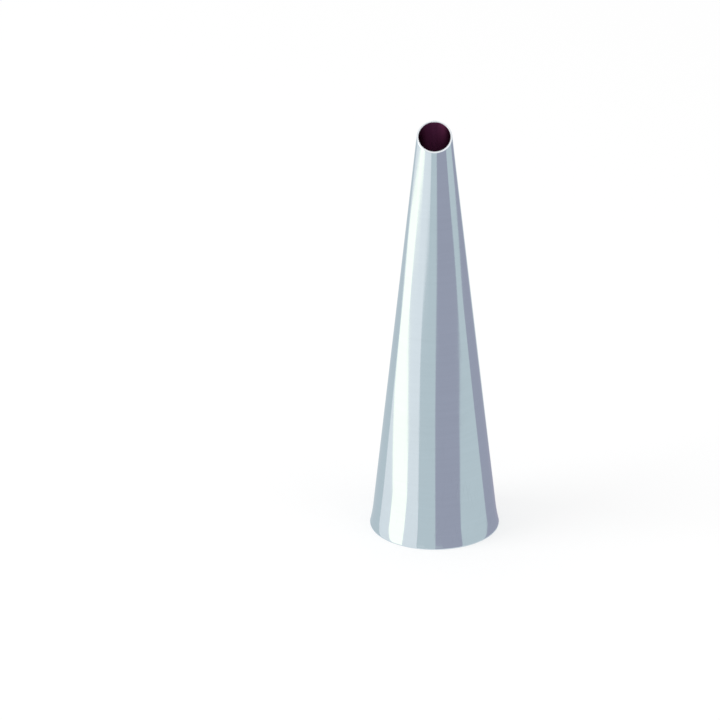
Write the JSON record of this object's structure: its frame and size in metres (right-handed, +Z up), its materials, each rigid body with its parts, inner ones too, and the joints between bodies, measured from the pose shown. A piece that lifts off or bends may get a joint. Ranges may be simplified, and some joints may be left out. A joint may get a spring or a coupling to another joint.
{
  "type": "piping nozzle",
  "caption": "Long conical steel filling nozzle for a pastry bag, with a slanted tip cut, a slightly flared foot and a welded seam down the back.",
  "frame": {"origin": "centre of the foot's resting edge, on the surface that the nozzle stands on", "axes": "+Z up the nozzle's axis from the foot to the tip, -Y towards the low side of the slanted tip cut, +Y towards the welded seam"},
  "size_m": [0.03, 0.03, 0.0986],
  "materials": {
    "polished_steel": "polished, with fine lines round the cone",
    "seam_steel": "low, lightly rippled weld bead, dressed flush at the foot"
  },
  "bodies": {
    "root": {"nozzle_shell": "polished_steel", "seam_weld": "seam_steel"}
  },
  "joints": []
}
